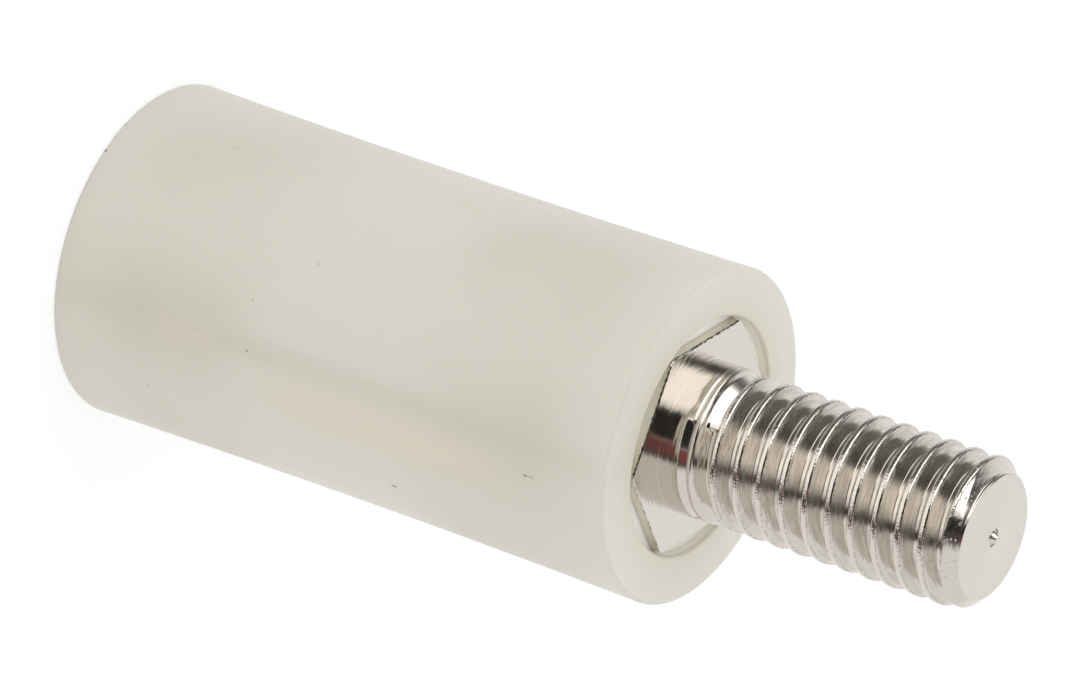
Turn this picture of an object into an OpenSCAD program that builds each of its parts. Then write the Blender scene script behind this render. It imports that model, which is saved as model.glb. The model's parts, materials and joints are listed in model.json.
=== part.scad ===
// Insulating standoff: a round nylon body moulded round two hexagonal metal inserts.
// One insert carries a threaded stud, the other a blind tapped hole in the far end.
// It stands on its tapped end, with +Z along the axis towards the stud.

/* [Body] */
// Length of the moulded body between its two end faces
body_len = 25; // [22:0.5:60]
// Diameter of the body at its ends
body_d = 13.1; // [11.5:0.1:24]
// How much slimmer the body is half way along, where the nylon has shrunk
waist = 0.25; // [0:0.01:0.6]
// Radius round the rim of each end face
rim_r = 0.15; // [0.05:0.01:0.5]
// Depth of the round recess that shows the insert's flats at each end face
recess_depth = 0.4; // [0.3:0.1:1.5]
// Radial gap between the insert's corners and the wall of the recess
recess_gap = 0.1; // [0.02:0.01:0.2]

/* [Inserts] */
// Hexagonal bar the inserts are turned from, across its flats
hex_af = 8; // [7.5:0.1:9]
// Diameter that the corners of the bar are turned down to
corner_d = 9.1; // [8.8:0.1:10]
// Length of the stud insert inside the body
stud_insert_len = 9.5; // [7:0.5:10.5]
// Length of the tapped insert inside the body
tapped_insert_len = 9.5; // [9.5:0.5:10.5]
// Diameter at the bottom of the groove that keys each insert in the nylon
key_d = 7.2; // [7:0.1:7.4]
// Width of the keying groove
key_w = 1.6; // [1:0.1:2.4]

/* [Stud] */
// Diameter over the crests of the thread
thread_d = 5.88; // [5:0.01:6.5]
// Distance from one crest to the next
pitch = 1; // [0.75:0.05:1.25]
// Length of the stud, from the body's end face to the face of its tip
stud_len = 12.7; // [8:0.1:30]
// Plain neck between the end face and the start of the thread
neck_len = 0.85; // [0.8:0.05:3]
// Fillet where the neck leaves the insert's face
neck_fillet = 0.1; // [0.05:0.05:0.3]
// Angle of the cone on which the groove's floor rises to the neck, as the die's lead leaves it
lead_angle = 27.5; // [20:2.5:45]
// Turns of thread over which the groove starts at the tip
run_in_turns = 0.5; // [0.25:0.25:1]
// How far the chamfer round the tip cuts in towards the axis
tip_chamfer = 0.55; // [0.1:0.05:0.8]
// Length of that chamfer along the axis
tip_chamfer_len = 0.45; // [0.1:0.05:0.8]
// Diameter of the pip that parting off left in the middle of the tip
pip_d = 0.56; // [0.3:0.02:1]
// Height of the pip
pip_height = 0.2; // [0.1:0.05:0.4]

/* [Tapped hole] */
// Bore that the thread is tapped in, which is the thread's minor diameter
bore_d = 5; // [4:0.1:5.4]
// Depth of the bore at its full diameter
bore_depth = 7.5; // [5:0.5:7.5]
// Diameter of the countersink at its mouth
mouth_d = 6.4; // [6:0.1:6.8]
// Angle of the drill point at the bottom
drill_angle = 118; // [90:1:140]

/* [Smoothness] */
// Straight steps in the waisted side of the body
side_steps = 24; // [8:2:48]
// Steps in one turn of the thread
thread_steps = 36; // [24:4:60]

/* [Hidden] */
$fn = 96;
nylon = [0.87, 0.86, 0.82];
plated = [0.78, 0.76, 0.72];
// How far a cut runs past the face that it opens in
cut = 0.5;

// The metric thread is a V with narrow flats on its crests and at its root.
flank = 30;
crest_flat = 0.19 * pitch;
thread_depth = 0.575 * pitch;
crest_r = thread_d / 2;
groove_half_w = (pitch - crest_flat) / 2;
// The groove stands proud of the crests, by less than would join one turn to the next.
proud = 0.06 * pitch;
groove_out_w = groove_half_w + proud * tan(flank);
tip_z = body_len + stud_len;
cone_z = body_len + neck_len;
// The groove starts where the cone does, but clear of the fillet.
groove_start_z = max(cone_z - groove_half_w, body_len + neck_fillet + groove_out_w);
// The groove's shallow end is past the tip, so it runs out of the chamfer while still deep.
groove_end_z = tip_z + 0.32 * pitch;
groove_turns = (groove_end_z - groove_start_z) / pitch;
pip_top_d = 0.4 * pip_d;
recess_d = corner_d + 2 * recess_gap;

// Radius of the waisted side at height z
function side_r(z) = body_d / 2 - waist / 2 * (1 - pow(2 * z / body_len - 1, 2));

// How deep the floor is on one side of the groove whose centre is at height z
function floor_depth(side, z, limit) =
    let (run = z + side * groove_half_w - cone_z, slope = tan(lead_angle))
    max(-proud / 2, min(limit, slope * run / (1 + side * slope * tan(flank))));

// One section of the groove, as four points from its lower lip to its upper one
function groove_section(turns) =
    let (z = groove_start_z + pitch * turns,
         a = 360 * (z - body_len) / pitch,
         limit = thread_depth * min(1, (groove_turns - turns) / run_in_turns),
         low = floor_depth(-1, z, limit),
         high = floor_depth(1, z, limit))
    [for (p = [[-proud, -groove_out_w], [low, low * tan(flank) - groove_half_w],
               [high, groove_half_w - high * tan(flank)], [-proud, groove_out_w]])
        [(crest_r - p[0]) * cos(a), (crest_r - p[0]) * sin(a), z + p[1]]];

// The stud as turned, before its thread: neck, blank, chamfer and parting pip
module stud_shank() {
    translate([0, 0, body_len]) rotate_extrude() polygon([
        [0, -cut], [crest_r + neck_fillet, -cut], [crest_r + neck_fillet, 0], [crest_r, neck_fillet],
        [crest_r, stud_len - tip_chamfer_len], [crest_r - tip_chamfer, stud_len], [pip_d / 2, stud_len],
        [pip_top_d / 2, stud_len + pip_height], [0, stud_len + pip_height]]);
}

// The helical space between the crests, whose floor rises to the neck along a cone
module thread_groove() {
    rings = ceil(groove_turns * thread_steps);
    points = [for (i = [0:rings]) each groove_section(groove_turns * i / rings)];
    sides = [for (i = [0:rings - 1], j = [0:3])
        let (a = 4 * i + j, b = 4 * i + (j + 1) % 4)
        each [[a, a + 4, b + 4], [a, b + 4, b]]];
    polyhedron(points, concat([[0, 1, 2, 3]], sides, [[for (j = [3:-1:0]) 4 * rings + j]]));
}

// A hexagonal insert of the given length with turned corners and a keying groove, from z = 0 up
module insert_blank(len) {
    difference() {
        intersection() {
            cylinder(d = hex_af / cos(30), h = len, $fn = 6);
            cylinder(d = corner_d, h = len);
        }
        translate([0, 0, (len - key_w) / 2]) difference() {
            cylinder(d = corner_d + cut, h = key_w);
            cylinder(d = key_d, h = key_w);
        }
    }
}

// The stud insert's blank, with its face in the end face of the body
module stud_blank() {
    translate([0, 0, body_len - stud_insert_len]) insert_blank(stud_insert_len);
}

module nylon_body() {
    color(nylon) difference() {
        rotate_extrude() polygon(concat(
            [[0, 0]],
            [for (a = [0:15:90]) [side_r(0) - rim_r + rim_r * sin(a), rim_r - rim_r * cos(a)]],
            [for (i = [1:side_steps - 1]) let (z = body_len * i / side_steps) [side_r(z), z]],
            [for (a = [90:-15:0]) [side_r(0) - rim_r + rim_r * sin(a), body_len - rim_r + rim_r * cos(a)]],
            [[0, body_len]]));
        stud_blank();
        insert_blank(tapped_insert_len);
        for (z = [-cut, body_len - recess_depth]) translate([0, 0, z])
            cylinder(d = recess_d, h = recess_depth + cut);
    }
}

module stud_insert() {
    color(plated) union() {
        stud_blank();
        difference() {
            stud_shank();
            thread_groove();
        }
    }
}

module tapped_insert() {
    mouth_depth = (mouth_d - bore_d) / 2;
    point_depth = bore_d / 2 / tan(drill_angle / 2);
    color(plated) difference() {
        insert_blank(tapped_insert_len);
        rotate_extrude() polygon([
            [0, -cut], [mouth_d / 2 + cut, -cut], [bore_d / 2, mouth_depth],
            [bore_d / 2, bore_depth], [0, bore_depth + point_depth]]);
    }
}

nylon_body();
stud_insert();
tapped_insert();
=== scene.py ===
"""A round insulated standoff, dressed for its picture.

The part stands on its tapped end with +Z along its axis: a milky nylon body moulded round two
hexagonal inserts of nickel-plated brass. The upper insert carries a threaded stud and the lower
one a blind tapped hole. Everything is in metres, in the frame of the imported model.
"""

import json
import logging
import math
from collections.abc import Callable, Sequence
from dataclasses import asdict, dataclass, fields
from enum import Enum
from functools import partialmethod, reduce

import bmesh
import bpy
from mathutils import Matrix, Vector


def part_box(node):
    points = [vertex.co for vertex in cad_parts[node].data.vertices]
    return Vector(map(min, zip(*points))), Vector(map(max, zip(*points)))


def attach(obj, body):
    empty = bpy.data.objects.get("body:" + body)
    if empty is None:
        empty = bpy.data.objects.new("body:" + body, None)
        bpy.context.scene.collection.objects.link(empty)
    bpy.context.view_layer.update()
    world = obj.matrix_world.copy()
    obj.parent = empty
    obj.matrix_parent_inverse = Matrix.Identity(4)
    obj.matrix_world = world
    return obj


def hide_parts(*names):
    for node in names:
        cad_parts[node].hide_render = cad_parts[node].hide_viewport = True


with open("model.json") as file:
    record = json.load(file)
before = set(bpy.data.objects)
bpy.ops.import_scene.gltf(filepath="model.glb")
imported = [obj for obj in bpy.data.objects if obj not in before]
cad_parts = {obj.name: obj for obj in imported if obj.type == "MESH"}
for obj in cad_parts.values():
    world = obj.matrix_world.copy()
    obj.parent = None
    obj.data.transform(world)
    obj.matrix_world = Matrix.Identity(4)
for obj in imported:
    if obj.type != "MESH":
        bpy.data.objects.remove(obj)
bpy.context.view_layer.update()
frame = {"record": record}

log = logging.getLogger("standoff")

MM = 0.001
PER_MM = 1000.0
TURN = 2 * math.pi
SAME_PLACE = 1e-7

Socket = bpy.types.NodeSocket
Value = float | Socket
Colour = tuple[float, float, float]
Span = tuple[float, float]
Outline = Callable[[float], float]
Ring = tuple[float | Outline, float]


class Wiring:
    """Adds nodes to one node tree and joins them up."""

    def __init__(self, tree: bpy.types.NodeTree) -> None:
        """Starts on a tree.

        Args:
            tree: the node tree of a material, a world, a group or a Geometry Nodes modifier.
        """
        self.tree = tree

    def add(self, kind: str, **settings: object) -> bpy.types.Node:
        """Adds a node and sets its properties.

        Args:
            kind: the node's type name.
            settings: properties of the node and their values.

        Returns:
            The new node.
        """
        node = self.tree.nodes.new(kind)
        for name, value in settings.items():
            setattr(node, name, value)
        return node

    def feed(self, socket: Socket, value: object) -> None:
        """Joins a value to an input, or sets the input's own value.

        Args:
            socket: the input.
            value: an output socket, or a plain value.
        """
        if isinstance(value, Socket):
            self.tree.links.new(value, socket)
        else:
            socket.default_value = value

    def node(self, kind: str, inputs: dict[str | int, object], **settings: object) -> bpy.types.Node:
        """Adds a node and feeds its inputs.

        Args:
            kind: the node's type name.
            inputs: values or outputs by the inputs' names or places.
            settings: properties of the node and their values.

        Returns:
            The new node.
        """
        node = self.add(kind, **settings)
        for name, value in inputs.items():
            self.feed(node.inputs[name], value)
        return node

    def math(self, operation: str, *values: Value) -> Socket:
        """Adds a Math node with its numbers in order, and returns its result."""
        return self.node("ShaderNodeMath", dict(enumerate(values)), operation=operation).outputs[0]

    def fold(self, operation: str, *values: Value) -> Value:
        """Works out one sum over two or more numbers, from the first to the last."""
        return reduce(lambda so_far, value: self.math(operation, so_far, value), values)

    plus = partialmethod(fold, "ADD")
    minus = partialmethod(fold, "SUBTRACT")
    times = partialmethod(fold, "MULTIPLY")
    over = partialmethod(fold, "DIVIDE")
    least = partialmethod(fold, "MINIMUM")
    most = partialmethod(fold, "MAXIMUM")

    def ramp(self, value: Value, low: Value, high: Value) -> Socket:
        """Turns a value into a share that goes smoothly from 0 at low to 1 at high.

        Args:
            value: the value.
            low: where the share is 0.
            high: where the share is 1. It may be less than low.

        Returns:
            The share.
        """
        inputs = {"Value": value, "From Min": low, "From Max": high}
        settings = {"interpolation_type": "SMOOTHSTEP", "clamp": True}
        return self.node("ShaderNodeMapRange", inputs, **settings).outputs[0]

    def fade(self, value: Value, edge: float, span: Span) -> Socket:
        """Makes a mask that is 0 at the start of a span and 1 at its end, measured from an edge."""
        return self.ramp(value, edge + span[0], edge + span[1])

    def band(self, value: Value, edge: float, fades: tuple[Span, Span]) -> Socket:
        """Makes a mask from two fades that are measured from the same edge."""
        return self.times(*(self.fade(value, edge, span) for span in fades))

    def noise(self, point: Socket, scale: float, detail: float, bend: float = 0.0) -> Socket:
        """Reads smooth noise, with so many waves in one unit of the point."""
        inputs = {"Vector": point, "Scale": scale, "Detail": detail, "Distortion": bend}
        return self.node("ShaderNodeTexNoise", inputs).outputs[0]

    def mix(self, share: Value, first: object, second: object) -> Socket:
        """Mixes two colours.

        Args:
            share: 0 gives the first and 1 the second.
            first: a colour or an output.
            second: a colour or an output.

        Returns:
            The mixed colour.
        """
        node = self.add("ShaderNodeMix", data_type="RGBA")
        self.feed(node.inputs["Factor"], share)
        self.feed(node.inputs[6], first)
        self.feed(node.inputs[7], second)
        return node.outputs[2]

    def split(self, vector: Socket) -> tuple[Socket, Socket, Socket]:
        """Splits a vector in its x, y and z."""
        outputs = self.node("ShaderNodeSeparateXYZ", {0: vector}).outputs
        return outputs[0], outputs[1], outputs[2]

    def join(self, x: Value, y: Value, z: Value) -> Socket:
        """Joins three numbers in a vector."""
        return self.node("ShaderNodeCombineXYZ", {0: x, 1: y, 2: z}).outputs[0]

    def either(self, share: Socket, first: bpy.types.Node, second: bpy.types.Node) -> bpy.types.Node:
        """Mixes the shaders of two nodes: a share of 0 gives the first and 1 the second."""
        shaders = {0: share, 1: first.outputs[0], 2: second.outputs[0]}
        return self.node("ShaderNodeMixShader", shaders)

    def end_in_shader(self, inputs: dict[str, object]) -> None:
        """Ends a material in its shader, from values or outputs by the inputs' names."""
        shader = self.node("ShaderNodeBsdfPrincipled", inputs)
        self.feed(self.add("ShaderNodeOutputMaterial").inputs[0], shader.outputs[0])


def rgba(colour: Sequence[float]) -> tuple[float, float, float, float]:
    """Adds full opacity to a linear colour of three numbers."""
    return (colour[0], colour[1], colour[2], 1.0)


def grey(level: float) -> tuple[float, float, float, float]:
    """A neutral colour of that brightness."""
    return (level, level, level, 1.0)


def emptied(owner: bpy.types.Material | bpy.types.World) -> bpy.types.NodeTree:
    """Gives a material or world an empty node tree.

    Args:
        owner: the material or world.

    Returns:
        Its node tree.
    """
    owner.use_nodes = True
    owner.node_tree.nodes.clear()
    return owner.node_tree


def linked_object(name: str, data: bpy.types.ID) -> bpy.types.Object:
    """Makes an object and links it to the scene.

    Args:
        name: the object's name.
        data: its mesh, camera or lamp.

    Returns:
        The object.
    """
    made = bpy.data.objects.new(name, data)
    bpy.context.scene.collection.objects.link(made)
    return made


@dataclass(frozen=True)
class Spokes:
    """The angles round the axis that every piece is built on, so that pieces that touch agree.

    The count is a multiple of 6 and the first spoke is half a step off +X, so one facet lies
    across each corner of a hexagon.
    """

    count: int = 120

    @property
    def step(self) -> float:
        """The angle from one spoke to the next."""
        return TURN / self.count

    @property
    def first(self) -> float:
        """The angle of the first spoke."""
        return self.step / 2

    def angle(self, index: int) -> float:
        """The angle of a spoke."""
        return self.first + index * self.step


SPOKES = Spokes()
CUTTER_TEETH = 4
FAR_ABOVE = 1.0


def round_outline(radius: float) -> Outline:
    """An outline that is a circle of that radius."""
    return lambda angle: radius


@dataclass(frozen=True)
class Hexagon:
    """A hexagonal bar whose corners are turned down, with a corner on +X."""

    across_flats: float
    corner_radius: float

    def outline(self, inset: float = 0.0) -> Outline:
        """The bar's outline.

        Args:
            inset: how far the outline lies inside the bar's own.

        Returns:
            The radius as a function of the angle.
        """
        apothem = self.across_flats / 2 - inset
        limit = self.corner_radius - inset
        sixth = TURN / 6

        def radius(angle: float) -> float:
            """The distance of the flat, or of the turned corner."""
            from_flat = (angle % sixth) - sixth / 2
            return min(apothem / math.cos(from_flat), limit)

        return radius


class RingShell:
    """A closed skin, laid ring by ring on the spokes, from one point on the axis to another."""

    def __init__(self) -> None:
        """Starts with nothing."""
        self.skin = bmesh.new()
        self.edge: list[bmesh.types.BMVert] = []

    def centre(self, height: float) -> None:
        """Starts or ends the skin at a point on the axis.

        Args:
            height: where the point is.
        """
        point = self.skin.verts.new((0, 0, height))
        if not self.edge:
            self.edge = [point]
            return
        for i, corner in enumerate(self.edge):
            self.skin.faces.new((corner, self.edge[(i + 1) % len(self.edge)], point))
        self.edge = []

    def ring(self, outline: float | Outline, height: float) -> None:
        """Lays the next ring and joins it to the last one.

        Args:
            outline: its radius, or the radius as a function of the angle.
            height: its height on the axis.
        """
        shape = outline if callable(outline) else round_outline(outline)
        ring = []
        for i in range(SPOKES.count):
            angle = SPOKES.angle(i)
            radius = shape(angle)
            place = (radius * math.cos(angle), radius * math.sin(angle), height)
            ring.append(self.skin.verts.new(place))
        for i in range(SPOKES.count if self.edge else 0):
            j = (i + 1) % SPOKES.count
            if len(self.edge) == 1:
                self.skin.faces.new((self.edge[0], ring[i], ring[j]))
            else:
                self.skin.faces.new((self.edge[i], self.edge[j], ring[j], ring[i]))
        self.edge = ring

    def rings(self, rings: Sequence[Ring]) -> None:
        """Lays one ring for each pair of outline and height."""
        for outline, height in rings:
            self.ring(outline, height)

    def radii(self) -> list[float]:
        """The last ring's radius on each spoke."""
        return [math.hypot(point.co.x, point.co.y) for point in self.edge]

    def graft(self, wall: bpy.types.Mesh, end: float) -> None:
        """Joins on a wall that starts where the last ring is, and goes on from its far rim.

        Args:
            wall: a mesh that is open at both ends, with its vertices on the spokes.
            end: the height of its far rim.
        """
        self.skin.from_mesh(wall)
        bmesh.ops.remove_doubles(self.skin, verts=self.skin.verts, dist=SAME_PLACE)
        rim = [v for v in self.skin.verts if v.is_boundary and abs(v.co.z - end) < SAME_PLACE]
        if len(rim) != SPOKES.count:
            raise ValueError(f"the wall's rim has {len(rim)} points, and not {SPOKES.count}")
        self.edge = sorted(rim, key=lambda v: math.atan2(v.co.y, v.co.x) % TURN)

    def finish(self, name: str, material: bpy.types.Material) -> bpy.types.Object:
        """Makes the skin an object.

        Args:
            name: the object's name.
            material: its material.

        Returns:
            The object, in the scene, with its faces outwards and smooth up to a clear edge.
        """
        crease = math.radians(40)
        bmesh.ops.recalc_face_normals(self.skin, faces=self.skin.faces)
        for face in self.skin.faces:
            face.smooth = True
            face.material_index = 0
        for edge in self.skin.edges:
            edge.smooth = edge.calc_face_angle(0.0) < crease
        mesh = bpy.data.meshes.new(name)
        self.skin.to_mesh(mesh)
        self.skin.free()
        mesh.materials.append(material)
        return linked_object(name, mesh)


def rounded_corner(
    radius: float, corner: tuple[float, float], start_deg: float, end_deg: float, steps: int
) -> list[tuple[float, float]]:
    """Points on a round edge.

    Args:
        radius: the edge's radius.
        corner: the centre of the round, as distance from the axis and height.
        start_deg: where the round starts, from outwards towards upwards.
        end_deg: where it ends.
        steps: how many straight steps it has.

    Returns:
        The points, as distance from the axis and height.
    """
    points = []
    for i in range(steps + 1):
        angle = math.radians(start_deg + (end_deg - start_deg) * i / steps)
        points.append((corner[0] + radius * math.cos(angle), corner[1] + radius * math.sin(angle)))
    return points


class ThreadSide(Enum):
    """Which side of the wall a thread is cut on, as the direction that its cut goes in."""

    OUTSIDE = -1.0
    INSIDE = 1.0


@dataclass(frozen=True)
class Thread:
    """A right-hand metric thread on a wall, cut from a plain start to a chamfered end.

    The cutter's lead leaves the groove's floor on a cone at the plain end. Where each of its
    teeth stopped, the cone steps along the axis.
    """

    side: ThreadSide
    crest_radius: float
    start: float
    end: float
    cone_start: float
    chamfer: float
    chamfer_length: float
    lead_deg: float = 27.5
    stop_deg: float = 262.0
    stop_step: float = 0.25 * MM
    full_from: float = FAR_ABOVE
    last_groove: float = FAR_ABOVE
    fade_turns: float = 0.5
    crest_round: float = 0.18
    burr: float = 0.0
    pitch: float = 1.0 * MM
    phase_height: float = 0.0
    crest_flat_share: float = 0.19
    depth_share: float = 0.575
    flank_deg: float = 30.0
    rows_per_turn: int = 48

    @property
    def depth(self) -> float:
        """How deep the groove is."""
        return self.depth_share * self.pitch

    @property
    def groove_half_width(self) -> float:
        """Half the groove's width at the crests."""
        return (1 - self.crest_flat_share) / 2 * self.pitch

    @property
    def root_half_width(self) -> float:
        """Half the groove's width at its bottom."""
        return self.groove_half_width - self.depth * math.tan(math.radians(self.flank_deg))

    def wall(self, name: str, material: bpy.types.Material) -> bpy.types.Mesh:
        """Cuts the thread with Geometry Nodes.

        Args:
            name: a name for the mesh.
            material: what the wall is finished with.

        Returns:
            A mesh open at both ends, whose vertices are on the spokes.
        """
        carrier = linked_object(name, bpy.data.meshes.new(name))
        modifier = carrier.modifiers.new("thread", "NODES")
        rows = math.ceil((self.end - self.start) / self.pitch + 1) * self.rows_per_turn
        values = {
            "Columns": SPOKES.count,
            "Rows": rows,
            "Rows per turn": self.rows_per_turn,
            "First angle": SPOKES.first,
            "Crest radius": self.crest_radius,
            "Cut direction": self.side.value,
            "Pitch": self.pitch,
            "Depth": self.depth,
            "Groove half width": self.groove_half_width,
            "Root half width": self.root_half_width,
            "Phase height": self.phase_height,
            "Start": self.start,
            "End": self.end,
            "Cone start": self.cone_start,
            "Cone slope": math.tan(math.radians(self.lead_deg)),
            "Stop angle": math.radians(self.stop_deg),
            "Stop step": self.stop_step,
            "Full from": self.full_from,
            "Last groove": self.last_groove,
            "Fade turns": self.fade_turns,
            "Chamfer": self.chamfer,
            "Chamfer length": self.chamfer_length,
            "Crest round": self.crest_round,
            "Burr": self.burr,
            "Finish": material,
        }
        modifier.node_group = thread_tree(values)
        for item in modifier.node_group.interface.items_tree:
            if item.item_type == "SOCKET" and item.in_out == "INPUT":
                modifier[item.identifier] = values[item.name]
        bpy.context.view_layer.update()
        evaluated = carrier.evaluated_get(bpy.context.evaluated_depsgraph_get())
        mesh = bpy.data.meshes.new_from_object(evaluated)
        carrier.modifiers.remove(modifier)
        bpy.data.objects.remove(carrier)
        return mesh


def thread_tree(values: dict[str, object]) -> bpy.types.NodeTree:
    """Builds the Geometry Nodes tree that cuts a thread, or finds it if it is there already.

    A flat grid is wrapped round the axis. Its rows climb by one pitch in a turn, so they run
    along the crests, and the two ends of the wrap join one turn apart.

    Args:
        values: values of the tree's inputs by name, which give the inputs their kinds.

    Returns:
        The tree.
    """
    name = "cut_thread"
    if name in bpy.data.node_groups:
        return bpy.data.node_groups[name]
    tree = bpy.data.node_groups.new(name, "GeometryNodeTree")
    kinds = {int: "Int", float: "Float", bpy.types.Material: "Material"}
    for label, value in values.items():
        kind = "NodeSocket" + kinds[type(value)]
        tree.interface.new_socket(label, in_out="INPUT", socket_type=kind)
    tree.interface.new_socket("Geometry", in_out="OUTPUT", socket_type="NodeSocketGeometry")
    turns_below = 1.02
    floor_round = 0.06
    crest_sharpness = 5.0
    ruffle_scale = 4.0 * PER_MM
    w = Wiring(tree)
    given = w.add("NodeGroupInput").outputs

    grid_sizes = {
        "Size X": 1.0,
        "Size Y": 1.0,
        "Vertices X": w.plus(given["Columns"], 1),
        "Vertices Y": w.plus(given["Rows"], 1),
    }
    grid = w.node("GeometryNodeMeshGrid", grid_sizes).outputs["Mesh"]
    across, along, _ = w.split(w.add("GeometryNodeInputPosition").outputs[0])
    angle = w.math("MULTIPLY_ADD", w.plus(across, 0.5), TURN, given["First angle"])
    climb = w.times(w.over(angle, TURN), given["Pitch"])

    lowest = w.minus(given["Start"], w.times(given["Pitch"], turns_below))
    row_height = w.over(given["Pitch"], given["Rows per turn"])
    run = w.times(row_height, w.times(w.plus(along, 0.5), given["Rows"]))
    height = w.least(w.most(w.plus(lowest, run, climb), given["Start"]), given["End"])

    on_helix = w.minus(height, climb, given["Phase height"])
    groove = w.times(w.math("ROUND", w.over(on_helix, given["Pitch"])), given["Pitch"])
    off_centre = w.math("ABSOLUTE", w.minus(on_helix, groove))
    flank_width = w.minus(given["Groove half width"], given["Root half width"])
    flank = w.over(w.minus(given["Groove half width"], off_centre), flank_width)
    groove_height = w.plus(groove, climb, given["Phase height"])

    stops = w.over(w.minus(angle, given["Stop angle"]), TURN / CUTTER_TEETH)
    after_stop = w.math("FRACT", stops)
    cone_start = w.math("MULTIPLY_ADD", after_stop, given["Stop step"], given["Cone start"])
    cone = w.times(w.minus(height, cone_start), given["Cone slope"])
    fade_run = w.times(given["Fade turns"], given["Pitch"])
    fading = w.over(w.minus(given["Last groove"], groove_height), fade_run)
    full = w.math("GREATER_THAN", groove_height, given["Full from"])
    floor_share = w.most(w.least(w.most(w.over(cone, given["Depth"]), full), fading), 0.0)
    lip = w.math("SMOOTH_MAX", flank, 0.0, given["Crest round"])
    floored = w.math("SMOOTH_MIN", lip, w.least(floor_share, 1.0), floor_round)
    groove_cut = w.times(w.most(w.least(lip, floored), 0.0), given["Depth"])

    past = w.most(w.minus(height, w.minus(given["End"], given["Chamfer length"])), 0.0)
    end_cut = w.times(past, w.over(given["Chamfer"], given["Chamfer length"]))
    crest = w.minus(1.0, w.least(w.times(lip, crest_sharpness), 1.0))
    cosine, sine = w.math("COSINE", angle), w.math("SINE", angle)
    blank = w.join(w.times(cosine, given["Crest radius"]), w.times(sine, given["Crest radius"]), height)
    ruffle = w.noise(blank, ruffle_scale, detail=2.0)
    dent = w.times(ruffle, crest, w.ramp(cone, 0.0, given["Burr"]))
    cut = w.most(w.math("MULTIPLY_ADD", dent, given["Burr"], groove_cut), end_cut)
    radius = w.math("MULTIPLY_ADD", cut, given["Cut direction"], given["Crest radius"])

    place = w.join(w.times(cosine, radius), w.times(sine, radius), height)
    wrapped = w.node("GeometryNodeSetPosition", {"Geometry": grid, "Position": place})
    merged = w.node("GeometryNodeMergeByDistance", {0: wrapped.outputs[0], "Distance": SAME_PLACE})
    solid = w.node("GeometryNodeRealizeInstances", {0: merged.outputs[0]})
    dressed = {"Geometry": solid.outputs[0], "Material": given["Finish"]}
    finish = w.node("GeometryNodeSetMaterial", dressed)
    w.feed(w.add("NodeGroupOutput").inputs["Geometry"], finish.outputs[0])
    return tree


class TurnedWiring(Wiring):
    """The wiring of a finish on a turned piece, which knows where on the piece a point is.

    The point, its distance from the axis and its height are in millimetres, and its angle is in
    radians from +X.
    """

    def __init__(self, tree: bpy.types.NodeTree) -> None:
        """Starts on a tree and works out the place.

        Args:
            tree: the node tree of a material or group.
        """
        super().__init__(tree)
        place = self.add("ShaderNodeTexCoord").outputs["Object"]
        scaled = {0: place, "Scale": PER_MM}
        self.point = self.node("ShaderNodeVectorMath", scaled, operation="SCALE").outputs[0]
        x, y, self.height = self.split(self.point)
        self.distance = self.math("SQRT", self.math("MULTIPLY_ADD", x, x, self.times(y, y)))
        self.angle = self.math("ARCTAN2", y, x)


def shader_group(name: str, inputs: Sequence[str], output: str) -> tuple[TurnedWiring, dict, Socket]:
    """Starts a shader node group.

    Args:
        name: the group's name.
        inputs: names of its number inputs.
        output: the name of its number output.

    Returns:
        Its wiring, its inputs as outputs to read by name, and its output as an input to feed.
    """
    tree = bpy.data.node_groups.new(name, "ShaderNodeTree")
    for label in inputs:
        tree.interface.new_socket(label, in_out="INPUT", socket_type="NodeSocketFloat")
    tree.interface.new_socket(output, in_out="OUTPUT", socket_type="NodeSocketFloat")
    w = TurnedWiring(tree)
    given = {socket.name: socket for socket in w.add("NodeGroupInput").outputs if socket.name}
    return w, given, w.add("NodeGroupOutput").inputs[output]


@dataclass(frozen=True)
class Lines:
    """Fine lines that a lathe leaves round the axis, as noise stretched along its cut.

    The numbers are how many waves the noise has across the axis, and in a millimetre outwards
    and along it.
    """

    around: float
    outwards: float
    along: float

    @staticmethod
    def group() -> bpy.types.NodeTree:
        """Builds the group that every set of lines uses.

        Returns:
            The group, with the lines from 0 to 1.
        """
        inputs = [field.name for field in fields(Lines)]
        w, given, made = shader_group("turning_marks", inputs, "marks")
        outwards = w.times(w.distance, given["outwards"])
        vector = w.join(
            w.times(w.math("COSINE", w.angle), given["around"]),
            w.times(w.math("SINE", w.angle), given["around"]),
            w.math("MULTIPLY_ADD", w.height, given["along"], outwards),
        )
        w.feed(made, w.noise(vector, scale=1.0, detail=1.0))
        return w.tree


@dataclass(frozen=True)
class Specks:
    """Small round specks strewn over a surface, with their sizes in millimetres.

    The share is how many of the evenly strewn places have a speck.
    """

    spacing: float
    radius: float
    share: float
    seed: float = 0.0

    @staticmethod
    def group() -> bpy.types.NodeTree:
        """Builds the group that every set of specks uses.

        Returns:
            The group, with 1 in a speck and 0 outside.
        """
        inner_share = 0.6
        inputs = [field.name for field in fields(Specks)]
        w, given, made = shader_group("specks", inputs, "mask")
        scale = w.over(1.0, given["spacing"])
        place = {"Vector": w.point, "W": given["seed"], "Scale": scale}
        cells = w.node("ShaderNodeTexVoronoi", place, voronoi_dimensions="4D")
        reach = w.times(given["radius"], scale)
        inside = w.ramp(cells.outputs["Distance"], reach, w.times(reach, inner_share))
        chosen = w.node("ShaderNodeSeparateColor", {0: cells.outputs["Color"]}).outputs[0]
        w.feed(made, w.times(inside, w.math("LESS_THAN", chosen, given["share"])))
        return w.tree


def from_group(w: Wiring, group: bpy.types.NodeTree, values: Lines | Specks) -> Socket:
    """Places a group in a material with its own values.

    Args:
        w: the material's wiring.
        group: the group.
        values: what its inputs are set to.

    Returns:
        The group's output.
    """
    node = w.node("ShaderNodeGroup", {}, node_tree=group)
    for name, value in asdict(values).items():
        w.feed(node.inputs[name], value)
    return node.outputs[0]


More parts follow.
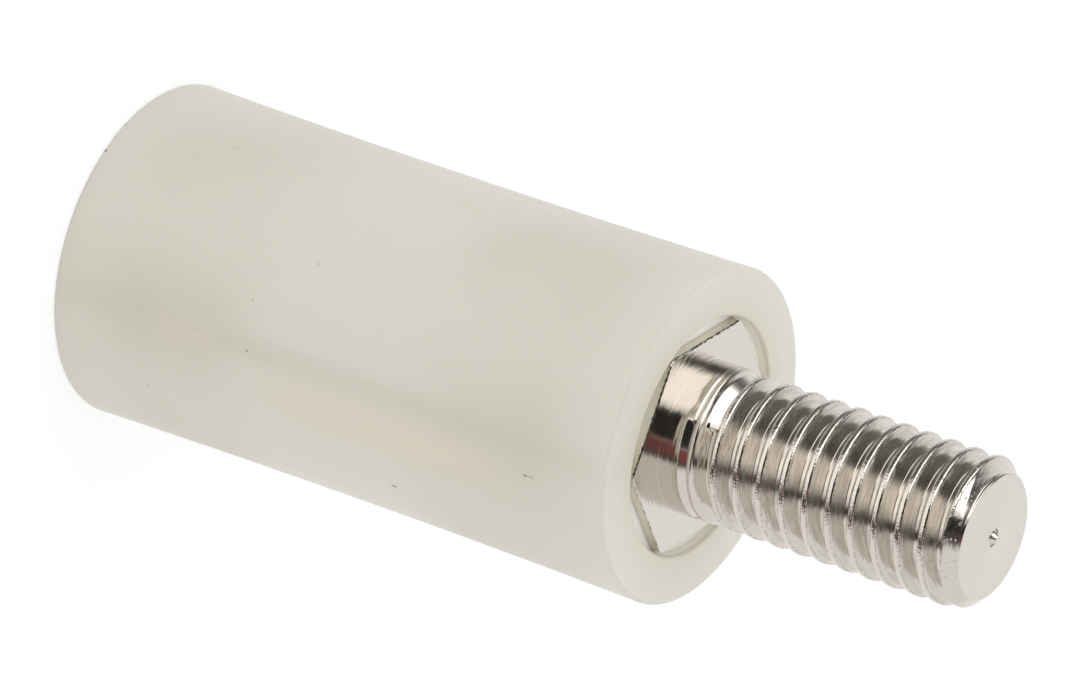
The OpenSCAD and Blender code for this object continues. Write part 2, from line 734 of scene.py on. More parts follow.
@dataclass(frozen=True)
class Mark:
    """A dark speck or short scratch on the body, where the part has one, in millimetres."""

    angle_deg: float
    height: float
    strength: float
    half_length: float = 0.055
    half_width: float = 0.055


@dataclass(frozen=True)
class Streak:
    """A soft streak of another tone along the body, in degrees and millimetres."""

    angle_deg: float
    half_width_deg: float
    low: float
    high: float
    strength: float
    colour: Colour


@dataclass(frozen=True)
class NylonFinish:
    """Natural nylon: milky, satin, with painted shade where metal is buried under its surface.

    A fade says where a mask is 0 and where it is 1, in millimetres from the edge it belongs to.
    """

    body_radius: float
    body_length: float
    insert_length: float
    recess_radius: float
    marks: tuple[Mark, ...]
    streaks: tuple[Streak, ...]
    pale: Colour = (0.75, 0.73, 0.655)
    # Painted shade over the buried inserts.
    painted_shade_over_metal: Colour = (0.68, 0.655, 0.57)
    warm: Colour = (0.725, 0.68, 0.57)
    # Painted light: a warm near-white that brightens the recesses, standing in for light carried
    # through the nylon.
    recess: Colour = (0.965, 0.935, 0.84)
    # Painted shade that tones down the upper rim's highlight.
    rim: Colour = (0.645, 0.63, 0.575)
    dirt: Colour = (0.10, 0.085, 0.07)
    insert_fade: Span = (-1.0, 3.0)
    end_fade: Span = (0.0, -4.0)
    lobes: float = 6.0
    lobe_turn: float = 1.0
    lobe_share: float = 0.6
    cloud_scale: float = 0.15
    cloud_span: Span = (0.0, 0.7)
    wash_scale: float = 0.13
    wash_bend: float = 0.6
    wash_span: Span = (0.5, 0.8)
    wash_strength: float = 0.3
    ring_fade: Span = (1.1, 0.0)
    ring_end_fade: Span = (-0.6, 0.0)
    ring_strength: float = 0.5
    rim_fade: Span = (-0.18, -0.09)
    mouth_fade: Span = (0.08, 0.02)
    recess_fade: Span = (-0.1, -0.22)
    grain_scale: float = 6.0
    satin: float = 0.48
    rim_dullness: float = 0.3
    grain_dullness: float = 0.12
    dust: Specks = Specks(spacing=2.4, radius=0.3, share=0.05, seed=3.0)
    dust_strength: float = 0.3
    mark_fade: Span = (1.6, 0.4)
    mark_depth: float = 0.3

    def material(self, specks: bpy.types.NodeTree) -> bpy.types.Material:
        """Builds the material.

        Args:
            specks: the group that strews specks.

        Returns:
            The material.
        """
        made = bpy.data.materials.new("natural_nylon")
        w = TurnedWiring(emptied(made))
        middle = self.body_length * PER_MM / 2
        from_middle = w.math("ABSOLUTE", w.minus(w.height, middle))
        colour = self.clouded(w, from_middle)
        for streak in self.streaks:
            colour = w.mix(self.streak_mask(w, streak), colour, rgba(streak.colour))
        mouth = self.recess_radius * PER_MM
        ring = w.fade(w.distance, mouth, self.ring_fade)
        ring = w.times(ring, w.fade(from_middle, middle, self.ring_end_fade))
        colour = w.mix(w.times(ring, self.ring_strength), colour, rgba(self.warm))
        outermost = (self.body_radius + self.body_length) * PER_MM
        at_rim = w.fade(w.plus(w.distance, w.height), outermost, self.rim_fade)
        # Painted shade: the round rim is darkened to tone down its highlight.
        colour = w.mix(at_rim, colour, rgba(self.rim))
        # Painted light: the recess's walls and floor are brightened towards a warm near-white.
        in_recess = w.fade(w.distance, mouth, self.mouth_fade)
        in_recess = w.times(in_recess, w.fade(from_middle, middle, self.recess_fade))
        colour = w.mix(in_recess, colour, rgba(self.recess))
        dust = w.times(from_group(w, specks, self.dust), self.dust_strength)
        colour = w.mix(w.most(self.placed_marks(w), dust), colour, rgba(self.dirt))

        grain = w.noise(w.point, self.grain_scale, detail=3.0)
        rough = w.math("MULTIPLY_ADD", at_rim, self.rim_dullness, self.satin)
        bump = {"Strength": 0.12, "Distance": 0.02 * MM, "Height": grain}
        w.end_in_shader({
            "IOR": 1.53,
            "Subsurface Weight": 0.8,
            "Subsurface Radius": (1.0, 0.95, 0.8),
            "Subsurface Scale": 0.25 * MM,
            "Sheen Weight": 0.12,
            "Sheen Roughness": 0.35,
            "Base Color": colour,
            "Roughness": w.math("MULTIPLY_ADD", grain, self.grain_dullness, rough),
            "Normal": w.node("ShaderNodeBump", bump).outputs[0],
        })
        return made

    def clouded(self, w: TurnedWiring, from_middle: Socket) -> Socket:
        """Colours the nylon, with painted shade in lobes over each insert, where the buried metal keeps
        light out of the nylon.

        Args:
            w: the material's wiring.
            from_middle: how far a point is from half way along the body.

        Returns:
            The colour.
        """
        middle = self.body_length * PER_MM / 2
        insert_end = middle - self.insert_length * PER_MM
        over = w.fade(from_middle, insert_end, self.insert_fade)
        over = w.times(over, w.fade(from_middle, middle, self.end_fade))
        lobes = w.math("MULTIPLY_ADD", w.angle, self.lobes, self.lobe_turn)
        half_share = self.lobe_share / 2
        lobes = w.math("MULTIPLY_ADD", w.math("COSINE", lobes), half_share, 1 - half_share)
        cloud = w.ramp(w.noise(w.point, self.cloud_scale, detail=0.0), *self.cloud_span)
        # Painted shade: darker lobes over each buried insert.
        colour = w.mix(w.times(over, lobes, cloud), rgba(self.pale), rgba(self.painted_shade_over_metal))
        wash = w.noise(w.point, self.wash_scale, 1.0, self.wash_bend)
        wash = w.times(w.ramp(wash, *self.wash_span), self.wash_strength)
        return w.mix(wash, colour, rgba(self.warm))

    def streak_mask(self, w: TurnedWiring, streak: Streak) -> Socket:
        """Finds a streak.

        Args:
            w: the material's wiring.
            streak: the streak.

        Returns:
            Its strength in the streak's middle, falling softly to 0 at its sides and ends.
        """
        aside = w.math("ABSOLUTE", w.minus(w.angle, math.radians(streak.angle_deg)))
        mask = w.times(w.ramp(aside, math.radians(streak.half_width_deg), 0.0), streak.strength)
        end_fade = (streak.high - streak.low) / 3
        risen = w.ramp(w.height, streak.low, streak.low + end_fade)
        return w.times(mask, risen, w.ramp(w.height, streak.high, streak.high - end_fade))

    def placed_marks(self, w: TurnedWiring) -> Socket:
        """Draws the marks that have a known place.

        Args:
            w: the material's wiring.

        Returns:
            1 in a mark and 0 outside.
        """
        total: Value = 0.0
        side = self.body_radius * PER_MM
        for mark in self.marks:
            across = w.minus(w.angle, math.radians(mark.angle_deg))
            across = w.times(across, side / mark.half_width)
            along = w.over(w.minus(w.height, mark.height), mark.half_length)
            reach = w.math("MULTIPLY_ADD", across, across, w.times(along, along))
            total = w.most(total, w.times(w.ramp(reach, *self.mark_fade), mark.strength))
        on_side = w.math("GREATER_THAN", w.distance, side - self.mark_depth)
        return w.times(total, on_side)


@dataclass(frozen=True)
class NickelFinish:
    """Bright nickel plating over turned brass.

    A fade says where a mask is 0 and where it is 1, in millimetres outwards from the crests or
    upwards from the thread's start, the hexagon's face or the tip. The torn line, the pip and the
    depth of a face are in millimetres too.
    """

    crest_radius: float
    thread_start: float
    hexagon: Hexagon
    face_height: float
    tip: float
    plate: Colour = (0.70, 0.665, 0.62)
    # Painted reflection: the warm khaki of the nylon wall that the flats inside the recess mirror.
    painted_nylon_reflection: Colour = (0.83, 0.80, 0.71)
    # Dark for real pits, dots and the torn edge, and for the pip's painted reflection.
    pit_and_reflection_dark: Colour = (0.10, 0.09, 0.08)
    drawn_shade: float = 0.72
    tint_shade: float = 0.9
    turned: Lines = Lines(around=4.0, outwards=10.0, along=5.0)
    smeared: Lines = Lines(around=14.0, outwards=3.0, along=7.0)
    drawn: Lines = Lines(around=2.5, outwards=15.0, along=6.0)
    smear_span: Span = (0.42, 0.56)
    drawn_span: Span = (0.42, 0.6)
    crest_pits: Specks = Specks(spacing=0.16, radius=0.05, share=0.16)
    dots: Specks = Specks(spacing=0.7, radius=0.07, share=0.04)
    spatter: Specks = Specks(spacing=0.17, radius=0.06, share=0.6, seed=5.0)
    crest_fades: tuple[Span, Span] = ((-0.09, -0.04), (0.1, 0.05))
    worn_from: Span = (0.9, 1.4)
    lip_fades: tuple[Span, Span] = ((-0.1, -0.075), (-0.035, -0.06))
    lip_strength: float = 0.8
    recess_fades: tuple[Span, Span] = ((-0.6, -0.5), (-0.03, -0.07))
    recess_gap: float = 0.5
    groove_fade: Span = (-0.06, -0.12)
    groove_from: Span = (1.2, 1.7)
    groove_to: Span = (-0.7, -1.0)
    chamfer_from: Span = (-0.9, -0.7)
    chamfer_fade: Span = (-0.6, -0.5)
    drawn_strength: float = 0.55
    tint_scale: float = 0.9
    tint_strength: float = 0.35
    burr_scale: float = 13.0
    line_height: float = 0.012 * MM
    burr_height: float = 0.012 * MM
    spatter_height: float = 0.03 * MM
    polish: float = 0.06
    line_dullness: float = 0.14
    groove_dullness: float = 0.02
    drawn_dullness: float = 0.08
    recess_dullness: float = 0.35
    torn_line: float = 0.075
    torn_scale: float = 7.5
    torn_span: Span = (0.45, 0.56)
    mild_tear: float = 0.35
    pip_radius: float = 0.28
    pip_fade: Span = (0.12, 0.05)
    pip_side: Span = (-0.3, 0.2)
    face_depth: float = 0.1

    def material(self, lines: bpy.types.NodeTree, specks: bpy.types.NodeTree) -> bpy.types.Material:
        """Builds the material.

        Args:
            lines: the group of turning marks.
            specks: the group that strews specks.

        Returns:
            The material.
        """
        made = bpy.data.materials.new("nickel_plating")
        w = TurnedWiring(emptied(made))
        crest, start = self.crest_radius * PER_MM, self.thread_start * PER_MM
        face, tip = self.face_height * PER_MM, self.tip * PER_MM
        turned = from_group(w, lines, self.turned)
        smeared = w.ramp(from_group(w, lines, self.smeared), *self.smear_span)
        drawn = w.ramp(from_group(w, lines, self.drawn), *self.drawn_span)

        worn = w.fade(w.height, start, self.worn_from)
        on_crest = w.times(w.band(w.distance, crest, self.crest_fades), worn)
        lip = w.times(w.band(w.distance, crest, self.lip_fades), smeared, on_crest)
        in_recess = w.band(w.height, face, self.recess_fades)
        outside = w.math("GREATER_THAN", w.distance, crest + self.recess_gap)
        in_recess = w.times(in_recess, outside)
        in_groove = w.fade(w.distance, crest, self.groove_fade)
        in_groove = w.times(in_groove, w.fade(w.height, start, self.groove_from))
        in_groove = w.times(in_groove, w.fade(w.height, tip, self.groove_to))
        on_chamfer = w.fade(w.height, tip, self.chamfer_from)
        on_chamfer = w.times(on_chamfer, w.fade(w.distance, crest, self.chamfer_fade))
        drawn = w.times(drawn, in_groove)
        pits = w.times(from_group(w, specks, self.crest_pits), on_crest)
        dark = w.most(pits, w.times(lip, self.lip_strength), from_group(w, specks, self.dots))
        dark = w.most(dark, self.torn_edge(w), self.pip_painted_reflection(w))

        # Painted reflection: the flats inside the recess take the khaki of the nylon wall that they
        # mirror.
        colour = w.mix(in_recess, rgba(self.plate), rgba(self.painted_nylon_reflection))
        colour = w.mix(w.times(drawn, self.drawn_strength), colour, self.shaded(self.drawn_shade))
        # The dark colour marks real pits, dots and the torn edge, and paints the pip's dark reflection.
        colour = w.mix(dark, colour, rgba(self.pit_and_reflection_dark))
        tint = w.times(w.noise(w.point, self.tint_scale, detail=2.0), self.tint_strength)
        colour = w.mix(tint, colour, self.shaded(self.tint_shade))

        burr = w.times(w.noise(w.point, self.burr_scale, detail=1.0), on_crest)
        raised = w.times(burr, self.burr_height / self.line_height)
        spatter = w.times(from_group(w, specks, self.spatter), on_chamfer)
        spatter_share = self.spatter_height / self.line_height
        raised = w.math("MULTIPLY_ADD", spatter, spatter_share, raised)
        bump = {"Strength": 1.0, "Distance": self.line_height, "Height": w.plus(raised, turned)}
        rough: Value = self.polish
        for mask, dullness in (
            (turned, self.line_dullness),
            (in_groove, self.groove_dullness),
            (drawn, self.drawn_dullness),
            (in_recess, self.recess_dullness),
        ):
            rough = w.math("MULTIPLY_ADD", mask, dullness, rough)
        w.end_in_shader({
            "Metallic": 1.0,
            "Base Color": colour,
            "Roughness": rough,
            "Normal": w.node("ShaderNodeBump", bump).outputs[0],
        })
        return made

    def shaded(self, shade: float) -> tuple[float, float, float, float]:
        """The plating's colour, darkened to a share of itself."""
        return rgba([channel * shade for channel in self.plate])

    def torn_edge(self, w: TurnedWiring) -> Socket:
        """Finds the torn, dark line that facing the bar left along the edges of its flats.

        Args:
            w: the material's wiring.

        Returns:
            1 in the dark line and 0 outside.
        """
        sixth = TURN / 6
        from_flat = w.minus(w.math("FLOORED_MODULO", w.angle, sixth), sixth / 2)
        reach = w.times(w.math("COSINE", from_flat), w.distance)
        apothem = self.hexagon.across_flats / 2 * PER_MM
        torn = w.ramp(w.noise(w.point, self.torn_scale, detail=1.0), *self.torn_span)
        worst = w.math("LESS_THAN", w.angle, -sixth)
        tear = w.math("MULTIPLY_ADD", worst, 1 - self.mild_tear, self.mild_tear)
        width = w.times(torn, self.torn_line, tear)
        on_edge = w.math("GREATER_THAN", reach, w.minus(apothem, width))
        from_face = w.math("ABSOLUTE", w.minus(w.height, self.face_height * PER_MM))
        return w.times(on_edge, w.math("LESS_THAN", from_face, width))

    def pip_painted_reflection(self, w: TurnedWiring) -> Socket:
        """Finds the painted reflection of the pip's dark side, round the pip's foot on the far side of
        the tip's face.

        Args:
            w: the material's wiring.

        Returns:
            1 in the painted reflection and 0 outside.
        """
        from_foot = w.math("ABSOLUTE", w.minus(w.distance, self.pip_radius))
        low = self.tip * PER_MM - self.face_depth
        on_tip = w.math("GREATER_THAN", w.height, low)
        # Painted reflection of the pip, on the +Y side, away from the camera.
        reflected_side = w.ramp(w.math("SINE", w.angle), *self.pip_side)
        return w.times(w.ramp(from_foot, *self.pip_fade), on_tip, reflected_side)


@dataclass
class NylonBody:
    """The moulded body: waisted side, round rims, and a recess and a pocket at each end."""

    radius: float
    length: float
    insert_low: float
    insert_high: float
    hexagon: Hexagon
    waist: float = 0.125 * MM
    rim_radius: float = 0.15 * MM
    lip_radius: float = 0.13 * MM
    recess_draft: float = 0.08 * MM
    recess_radius: float = 4.65 * MM
    recess_depth: float = 0.4 * MM
    key_radius: float = 3.6 * MM
    key_width: float = 1.6 * MM
    hold: float = 0.02 * MM
    side_steps: int = 48
    round_steps: int = 5

    def side_radius(self, height: float) -> float:
        """The waisted side's radius at a height."""
        return self.radius - self.waist * (1 - (2 * height / self.length - 1) ** 2)

    def end(self) -> list[Ring]:
        """The upper end, as rings from the pocket's far corner to the side.

        Returns:
            Outlines, with heights measured down from the end face.
        """
        pocket = self.length - self.insert_high
        key_low = (pocket + self.key_width) / 2
        key_high = (pocket - self.key_width) / 2
        hexagon = self.hexagon.outline()
        lip_foot = self.recess_radius + self.lip_radius
        rim_foot = self.radius - self.rim_radius
        rings: list[Ring] = [
            (hexagon, pocket),
            (hexagon, key_low),
            (self.key_radius, key_low),
            (self.key_radius, key_high),
            (hexagon, key_high),
            (hexagon, self.recess_depth),
            (self.recess_radius - self.recess_draft, self.recess_depth),
            (self.recess_radius, self.lip_radius + self.hold),
        ]
        steps = self.round_steps
        rings += rounded_corner(self.lip_radius, (lip_foot, self.lip_radius), 180, 270, steps)
        rings += [(lip_foot + self.hold, 0.0), (rim_foot - self.hold, 0.0)]
        rings += rounded_corner(self.rim_radius, (rim_foot, self.rim_radius), 270, 360, steps)
        return rings

    def build(self, material: bpy.types.Material) -> bpy.types.Object:
        """Builds the body.

        Args:
            material: its finish.

        Returns:
            The piece.
        """
        shell = RingShell()
        end = self.end()
        shell.centre(self.insert_high)
        shell.rings([(shape, self.length - down) for shape, down in end])
        for i in range(1, self.side_steps):
            height = self.length * (1 - i / self.side_steps)
            shell.ring(self.side_radius(height), height)
        shell.rings(list(reversed(end)))
        shell.centre(self.insert_low)
        return shell.finish("moulded_nylon_body", material)


@dataclass
class Insert:
    """A hexagonal insert: turned corners, a keying groove, and softened edges on its flats."""

    hexagon: Hexagon
    edge_round: float = 0.05 * MM
    hold: float = 0.015 * MM
    key_radius: float = 3.6 * MM
    key_width: float = 1.6 * MM
    round_steps: int = 3

    def blank(self, low: float, high: float) -> list[Ring]:
        """The outside of the insert from its lower face to its upper one.

        Args:
            low: height of the lower face.
            high: height of the upper face.

        Returns:
            The rings' outlines and heights.
        """
        key_low, key_high = (low + high - self.key_width) / 2, (low + high + self.key_width) / 2
        flat = self.hexagon.outline()
        margin = self.edge_round + self.hold
        face_edge = self.hexagon.outline(margin)
        return [
            (face_edge, low),
            *self.soft_edge(low, 270, 360),
            (flat, low + margin),
            (flat, key_low),
            (self.key_radius, key_low),
            (self.key_radius, key_high),
            (flat, key_high),
            (flat, high - margin),
            *self.soft_edge(high, 0, 90),
            (face_edge, high),
        ]

    def soft_edge(self, face: float, start_deg: float, end_deg: float) -> list[Ring]:
        """The softened edge between a face and the flats.

        Args:
            face: height of the face.
            start_deg: where the round starts, from outwards towards upwards.
            end_deg: where it ends.

        Returns:
            The rings' outlines and heights.
        """
        inward = self.edge_round if start_deg < 180 else -self.edge_round
        centre = (0.0, face - inward)
        edge = rounded_corner(self.edge_round, centre, start_deg, end_deg, self.round_steps)
        return [(self.hexagon.outline(self.edge_round - out), up) for out, up in edge]


@dataclass
class StudInsert(Insert):
    """The insert with the threaded stud, turned from one bar."""

    low: float = 0.0
    shoulder: float = 0.0
    tip: float = 0.0
    crest_radius: float = 2.94 * MM
    neck_fillet: float = 0.01 * MM
    plain_neck: float = 0.77 * MM
    burr: float = 0.02 * MM
    tip_chamfer: float = 0.52 * MM
    tip_chamfer_length: float = 0.47 * MM
    tip_round: float = 0.04 * MM
    round_insets: tuple[float, ...] = (0.4, 0.9, 1.6, 2.2)
    round_drops: tuple[float, ...] = (0.5, 0.16, 0.0, 0.0)
    groove_past_tip: float = 0.5 * MM
    pip_radius: float = 0.28 * MM
    pip_top_radius: float = 0.112 * MM
    pip_height: float = 0.2 * MM

    def thread(self) -> Thread:
        """Lays out the stud's thread.

        Returns:
            The thread, from the neck to the tip.
        """
        return Thread(
            side=ThreadSide.OUTSIDE,
            crest_radius=self.crest_radius,
            start=self.shoulder + self.neck_fillet + self.hold,
            end=self.tip - self.tip_round,
            cone_start=self.shoulder + self.plain_neck,
            chamfer=self.tip_chamfer,
            chamfer_length=self.tip_chamfer_length,
            full_from=self.shoulder + (1 + Thread.stop_deg / 360) * Thread.pitch,
            last_groove=self.tip + self.groove_past_tip,
            burr=self.burr,
            phase_height=self.shoulder,
        )

    def fillet(self) -> list[Ring]:
        """Lays out the round between the shoulder's face and the neck.

        Returns:
            The rings' outlines and heights.
        """
        round_radius = self.neck_fillet
        foot = self.crest_radius + round_radius
        centre = (foot, self.shoulder + round_radius)
        corner = rounded_corner(round_radius, centre, 270, 180, self.round_steps)
        return [(foot + self.hold, self.shoulder), *corner]

    def pip(self) -> list[Ring]:
        """Lays out the pip that parting off left in the middle of the tip.

        Returns:
            The rings' outlines and heights, from the pip's foot to its top.
        """
        top = self.tip + self.pip_height
        return [
            (self.pip_radius + self.hold, self.tip),
            (self.pip_radius, self.tip + self.hold / 3),
            (self.pip_top_radius + self.hold, top - self.hold),
            (self.pip_top_radius, top),
        ]

    def build(self, material: bpy.types.Material) -> bpy.types.Object:
        """Builds the insert.

        Args:
            material: its finish.

        Returns:
            The piece.
        """
        thread = self.thread()
        shell = RingShell()
        shell.centre(self.low)
        shell.rings(self.blank(self.low, self.shoulder))
        shell.rings(self.fillet())
        shell.ring(self.crest_radius, thread.start)
        shell.graft(thread.wall("stud_thread", material), thread.end)
        radii = shell.radii()
        for inset, down in zip(self.round_insets, self.round_drops):
            outline = follow(radii, inset * self.tip_round)
            shell.ring(outline, self.tip - down * self.tip_round)
        shell.rings(self.pip())
        shell.centre(self.tip + self.pip_height)
        return shell.finish("turned_stud_insert", material)


def follow(radii: Sequence[float], inset: float) -> Outline:
    """An outline that follows the radii found on the spokes, but an inset further in."""
    return lambda angle: radii[round((angle - SPOKES.first) / SPOKES.step) % SPOKES.count] - inset


@dataclass
class TappedInsert(Insert):
    """The insert with the blind tapped hole, whose mouth is in the end that the part stands on."""

    high: float = 0.0
    bore_radius: float = 2.5 * MM
    bore_depth: float = 7.5 * MM
    countersink: float = 0.7 * MM
    mouth_margin: float = 0.03 * MM
    tap_runs_out: float = 6.6 * MM
    drill_point_deg: float = 118.0

    def thread(self) -> Thread:
        """Lays out the thread in the bore, upside down.

        Returns:
            The thread, from the deep end up to the mouth at height 0.
        """
        return Thread(
            side=ThreadSide.INSIDE,
            crest_radius=self.bore_radius,
            start=-self.bore_depth,
            end=0.0,
            cone_start=-self.tap_runs_out,
            chamfer=self.countersink,
            chamfer_length=self.countersink,
            lead_deg=18.0,
            depth_share=0.48,
            crest_flat_share=0.25,
        )

    def build(self, material: bpy.types.Material) -> bpy.types.Object:
        """Builds the insert upside down, and turns it over.

        Args:
            material: its finish.

        Returns:
            The piece.
        """
        point_depth = self.bore_radius / math.tan(math.radians(self.drill_point_deg / 2))
        shell = RingShell()
        shell.centre(-self.bore_depth - point_depth)
        shell.ring(self.bore_radius, -self.bore_depth)
        shell.graft(self.thread().wall("bore_thread", material), 0.0)
        shell.ring(follow(shell.radii(), -self.mouth_margin), 0.0)
        shell.rings(list(reversed(self.blank(-self.high, 0.0))))
        shell.centre(-self.high)
        shell.skin.transform(Matrix.Rotation(math.pi, 4, "X"))
        return shell.finish("tapped_insert_metal", material)


@dataclass(frozen=True)
class Card:
    """A soft-edged panel on the studio's walls, which only reflections see.

    Azimuth 0 is towards +X and 90 towards +Y. The camera is at 270.
    """

    name: str
    azimuth_deg: float
    elevation_deg: float
    half_width_deg: float
    half_height_deg: float
    edge_deg: float
    brightness: Colour


@dataclass(frozen=True)
class Studio:
    """The camera at the photograph's angle, the pale floor, and plain soft light."""

    aim: tuple[float, float, float] = (-1.451 * MM, 0.0, 17.218 * MM)
    distance: float = 358.29 * MM
    elevation_deg: float = 29.005
    roll_deg: float = 108.935
    lens_px: float = 9581.9
    frame_width_px: float = 1080.0
    sensor_mm: float = 36.0
    clip: Span = (0.01, 10.0)
    floor_radius: float = 3.0
    floor_gap: float = 0.01 * MM
    floor_grey: float = 0.8
    shadow_grey: float = 0.35
    floor_glow: float = 0.68
    sky: float = 0.98
    lamp_watts: float = 0.3
    lamp_size: float = 0.35
    lamp_distance: float = 0.6
    lamp_direction: tuple[float, float, float] = (-0.8, -0.45, 0.75)
    walls: Colour = (0.90, 0.885, 0.87)
    cards: tuple[Card, ...] = (
        Card("far_glow", 90, 22, 28, 26, 8, (1.0, 0.99, 0.98)),
        Card("dark_overhead", 120, 89, 200, 17, 5, (0.05, 0.05, 0.05)),
        Card("softbox", 205, 33, 36, 39, 8, (1.85, 1.80, 1.74)),
        Card("gap_beside_softbox", 149, 33, 15, 38, 11, (0.09, 0.09, 0.08)),
        Card("dark_above_camera", 285, 62, 36, 14, 5, (0.06, 0.06, 0.06)),
        Card("dark_behind_camera", 269, 34, 22, 38, 3, (0.015, 0.015, 0.015)),
        Card("dark_beside_camera", 303, 30, 12, 34, 4, (0.21, 0.065, 0.06)),
        Card("dark_low_side", 186, -27, 44, 27, 12, (0.2, 0.2, 0.19)),
        Card("darkest_low_side", 216, -27, 15, 26, 7, (0.11, 0.105, 0.10)),
        Card("low_walls", 20, -38, 66, 36, 8, (1.0, 0.97, 0.935)),
        Card("bright_front", 261, -34, 25, 30, 8, (1.30, 1.23, 1.12)),
        Card("edge_beside_camera", 316, 8, 5, 60, 4, (0.07, 0.05, 0.04)),
        Card("low_edge", 310, -24, 9, 27, 8, (0.05, 0.04, 0.04)),
    )

    def camera(self) -> None:
        """Places the camera that the scene is seen by."""
        lens = bpy.data.cameras.new("photo_camera")
        lens.sensor_fit = "HORIZONTAL"
        lens.sensor_width = self.sensor_mm
        lens.lens = self.lens_px * self.sensor_mm / self.frame_width_px
        lens.clip_start, lens.clip_end = self.clip
        elevation = math.radians(self.elevation_deg)
        back = Vector((0, -math.cos(elevation), math.sin(elevation)))
        tilt = Matrix.Rotation(math.pi / 2 - elevation, 4, "X")
        roll = Matrix.Rotation(math.radians(self.roll_deg), 4, "Z")
        holder = linked_object("photo_camera", lens)
        holder.matrix_world = Matrix.Translation(Vector(self.aim) + back * self.distance) @ tilt @ roll
        bpy.context.scene.camera = holder

    def floor(self) -> None:
        """Lays the pale floor, which shows white, keeps a soft shadow and is clear from below.

        It lies a hair under the part, so that no two faces share a place.
        """
        low = Matrix.Translation((0, 0, -self.floor_gap))
        disc = bmesh.new()
        bmesh.ops.create_circle(disc, cap_ends=True, segments=64, radius=self.floor_radius, matrix=low)
        mesh = bpy.data.meshes.new("floor")
        disc.to_mesh(mesh)
        disc.free()
        floor = linked_object("floor", mesh)
        made = bpy.data.materials.new("pale_floor")
        w = Wiring(emptied(made))
        plain = w.node("ShaderNodeBsdfDiffuse", {"Color": grey(self.floor_grey)})
        shadow = w.node("ShaderNodeBsdfDiffuse", {"Color": grey(self.shadow_grey)})
        glow = w.node("ShaderNodeEmission", {"Color": grey(1.0), "Strength": self.floor_glow})
        shown = w.node("ShaderNodeAddShader", {0: shadow.outputs[0], 1: glow.outputs[0]})
        light = w.add("ShaderNodeLightPath").outputs
        seen = w.most(light["Is Camera Ray"], light["Is Glossy Ray"], light["Is Transmission Ray"])
        above = w.either(seen, plain, shown)
        clear = w.add("ShaderNodeBsdfTransparent")
        back = w.add("ShaderNodeNewGeometry").outputs["Backfacing"]
        w.feed(w.add("ShaderNodeOutputMaterial").inputs[0], w.either(back, above, clear).outputs[0])
        mesh.materials.append(made)
        floor.visible_glossy = False

    def lamps(self) -> None:
        """Hangs one large soft lamp on the side that the photograph's light comes from."""
        lamp = bpy.data.lights.new("soft_key", "AREA")
        lamp.shape = "SQUARE"
        lamp.size = self.lamp_size
        lamp.energy = self.lamp_watts
        away = Vector(self.lamp_direction).normalized()
        holder = linked_object("soft_key", lamp)
        holder.location = away * self.lamp_distance
        holder.rotation_euler = away.to_track_quat("Z", "Y").to_euler()
        holder.visible_glossy = False

    def world(self) -> None:
        """Surrounds the part with even light, and with the cards that its metal reflects."""
        world = bpy.data.worlds.new("studio")
        bpy.context.scene.world = world
        w = Wiring(emptied(world))
        towards = w.add("ShaderNodeTexCoord").outputs["Generated"]
        walls: object = rgba(self.walls)
        for card in self.cards:
            walls = w.mix(self.card_mask(w, towards, card), walls, rgba(card.brightness))
        light = w.add("ShaderNodeLightPath").outputs
        even = w.node("ShaderNodeBackground", {"Color": grey(1.0), "Strength": self.sky})
        white = w.node("ShaderNodeBackground", {"Color": grey(1.0), "Strength": 1.0})
        mirrored = w.node("ShaderNodeBackground", {"Color": walls, "Strength": 1.0})
        straight = w.either(w.most(light["Is Camera Ray"], light["Is Transmission Ray"]), even, white)
        both = w.either(light["Is Glossy Ray"], straight, mirrored)
        w.feed(w.add("ShaderNodeOutputWorld").inputs[0], both.outputs[0])

    def card_mask(self, w: Wiring, towards: Socket, card: Card) -> Socket:
        """Finds a card.

        Args:
            w: the world's wiring.
            towards: the direction that is looked in.
            card: the card.

        Returns:
            1 on the card and 0 off it, with a soft edge.
        """
        turn_back = {"Vector": towards, "Angle": -math.radians(card.azimuth_deg)}
        settings = {"rotation_type": "Z_AXIS", "label": card.name}
        turned = w.node("ShaderNodeVectorRotate", turn_back, **settings)
        x, y, z = w.split(turned.outputs[0])
        aside = w.math("ABSOLUTE", w.math("ARCTAN2", y, x))
        above = w.minus(w.math("ARCSINE", z), math.radians(card.elevation_deg))
        edge = math.radians(card.edge_deg)
        mask: Value = 1.0
        for angle, half_deg in (
            (aside, card.half_width_deg),
            (w.math("ABSOLUTE", above), card.half_height_deg),
        ):
            mask = w.times(mask, w.fade(angle, math.radians(half_deg), (edge, -edge)))
        return mask

    def build(self) -> None:
        """Builds the whole studio."""
        self.camera()
        self.floor()
        self.lamps()
        self.world()
        bpy.context.scene.view_settings.view_transform = "Standard"


BODY_MARKS = (
    Mark(-128.8, 0.03, 0.9),
    Mark(-122.6, 0.03, 0.8),
    Mark(-116.3, 0.06, 0.9, half_length=0.09),
    Mark(-57.5, 0.04, 0.4),
    Mark(-84.6, 8.66, 0.22),
    Mark(-67.3, 8.85, 0.5),
    Mark(-40.3, 4.20, 0.26),
    Mark(-103.1, 10.76, 0.22),
    Mark(-134.8, 4.68, 0.13, half_length=0.08, half_width=0.08),
    Mark(-68.9, 6.54, 0.16),
    Mark(-32.1, 15.26, 0.8, half_length=0.13, half_width=0.05),
    Mark(-58.0, 21.52, 0.6, half_length=0.08, half_width=0.05),
    Mark(-58.2, 21.75, 0.3, half_length=0.22, half_width=0.04),
)
BODY_STREAKS = (
    Streak(-68.0, 9.0, -5.0, 30.0, 0.6, (0.66, 0.635, 0.55)),
    Streak(-55.0, 14.0, 8.0, 22.0, 0.75, (0.785, 0.705, 0.585)),
    Streak(-66.0, 9.0, 4.0, 8.0, 0.5, (0.76, 0.69, 0.59)),
)


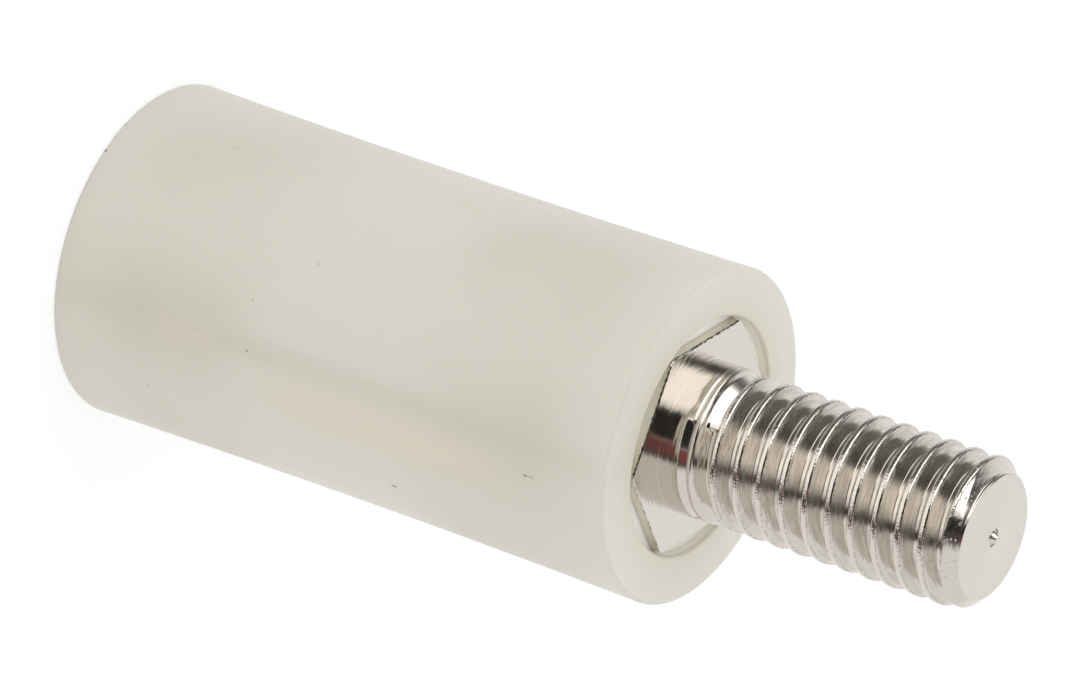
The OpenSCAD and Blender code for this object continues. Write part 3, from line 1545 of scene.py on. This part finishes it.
@dataclass(frozen=True)
class Standoff:
    """The whole part, by its main sizes."""

    body_radius: float
    body_length: float
    stud_low: float
    stud_top: float
    tapped_high: float
    crest_radius: float
    bore_radius: float
    hexagon: Hexagon

    @classmethod
    def from_frame(cls) -> "Standoff":
        """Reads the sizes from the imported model.

        Returns:
            The part.
        """
        _, body_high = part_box("nylon_body")
        stud_low, stud_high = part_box("stud_insert")
        _, tapped_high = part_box("tapped_insert")
        mounts = {mount["name"]: mount for mount in frame["record"]["mounts"]}
        return cls(
            body_radius=body_high.x,
            body_length=body_high.z,
            stud_low=stud_low.z,
            stud_top=stud_high.z,
            tapped_high=tapped_high.z,
            crest_radius=mounts["stud"]["dims"]["r_mm"] * MM,
            bore_radius=mounts["tapped_hole"]["dims"]["r_mm"] * MM,
            hexagon=Hexagon(across_flats=2 * tapped_high.y, corner_radius=tapped_high.x),
        )

    def build(self) -> None:
        """Builds the pieces and hides the solids that they stand for."""
        body = NylonBody(
            radius=self.body_radius,
            length=self.body_length,
            insert_low=self.tapped_high,
            insert_high=self.stud_low,
            hexagon=self.hexagon,
        )
        stud = StudInsert(
            hexagon=self.hexagon,
            low=self.stud_low,
            shoulder=self.body_length,
            tip=self.stud_top - StudInsert.pip_height,
            crest_radius=self.crest_radius,
        )
        tapped = TappedInsert(
            hexagon=self.hexagon, high=self.tapped_high, bore_radius=self.bore_radius
        )
        nylon = NylonFinish(
            body_radius=self.body_radius,
            body_length=self.body_length,
            insert_length=self.tapped_high,
            recess_radius=body.recess_radius,
            marks=BODY_MARKS,
            streaks=BODY_STREAKS,
        )
        nickel = NickelFinish(
            crest_radius=self.crest_radius,
            thread_start=stud.thread().cone_start,
            hexagon=self.hexagon,
            face_height=self.body_length,
            tip=stud.tip,
        )
        specks = Specks.group()
        metal = nickel.material(Lines.group(), specks)
        pieces = (
            (body.build(nylon.material(specks)), "nylon_body", "nylon"),
            (stud.build(metal), "stud_insert", "nickel_plate"),
            (tapped.build(metal), "tapped_insert", "nickel_plate"),
        )
        for piece, node, finish in pieces:
            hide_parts(node)
            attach(piece, "root")
            log.info("%s stands for %s: %d faces", piece.name, node, len(piece.data.polygons))


def main() -> None:
    """Builds the studio and the part."""
    logging.basicConfig(level=logging.INFO, format="%(name)s: %(message)s")
    Studio().build()
    Standoff.from_frame().build()


if __name__ == "__main__":
    main()
